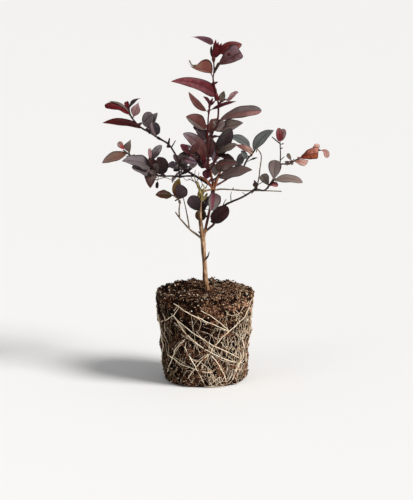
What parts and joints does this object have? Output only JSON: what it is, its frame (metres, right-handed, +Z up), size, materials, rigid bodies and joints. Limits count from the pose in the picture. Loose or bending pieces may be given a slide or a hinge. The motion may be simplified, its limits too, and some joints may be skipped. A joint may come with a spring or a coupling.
{
  "type": "dwarf crape myrtle plant on its bare root ball",
  "caption": "Young shrub with dark purple leaves on thin forked stems, standing on a tapered plug of soil held together by its roots.",
  "frame": {"origin": "centre of the root ball's flat underside", "axes": "+Z up along the trunk, +X to the right of the front, +Y to the back"},
  "size_m": [0.1127, 0.0615, 0.1752],
  "materials": {
    "soil": "matte, crumbly and damp",
    "pale_bark": "satin, smooth young bark",
    "dark_bark": "satin, smooth young bark",
    "red_bark": "satin, smooth young bark",
    "dead_bark": "matte, dry bark",
    "crimson_leaf": "semi-gloss, waxy leaf",
    "plum_leaf": "semi-gloss, waxy leaf",
    "mauve_leaf": "semi-gloss, waxy leaf",
    "rust_leaf": "semi-gloss, waxy leaf",
    "black_leaf": "semi-gloss, waxy leaf"
  },
  "bodies": {
    "root": {"root_ball": "soil", "trunk": "pale_bark", "leader_bough": "red_bark", "left_bough": "dark_bark", "left_middle_bough": "dark_bark", "upper_right_bough": "red_bark", "right_low_bough": "dark_bark", "low_left_bough": "dead_bark", "low_left_twig": "dead_bark", "dead_left_twig": "dead_bark", "bare_right_twig": "dark_bark", "bare_right_tendril": "dark_bark", "back_bough": "red_bark", "tip_spray": "crimson_leaf", "shoulder_spray": "plum_leaf", "right_crown_spray": "plum_leaf", "second_shoot": "plum_leaf", "front_left_spray": "mauve_leaf", "front_right_spray": "plum_leaf", "low_front_spray": "mauve_leaf", "hanging_spray": "mauve_leaf", "upper_left_spray": "crimson_leaf", "low_left_spray": "mauve_leaf", "left_end_spray": "rust_leaf", "left_fork_spray": "black_leaf", "low_left_leaves": "black_leaf", "trunk_left_leaf": "black_leaf", "low_right_leaf": "black_leaf", "upper_right_spray": "mauve_leaf", "mid_right_spray": "mauve_leaf", "far_right_spray": "rust_leaf", "back_left_spray": "plum_leaf", "back_right_spray": "mauve_leaf", "high_back_spray": "plum_leaf", "low_back_spray": "black_leaf", "right_back_spray": "plum_leaf", "left_back_spray": "mauve_leaf"}
  },
  "joints": []
}
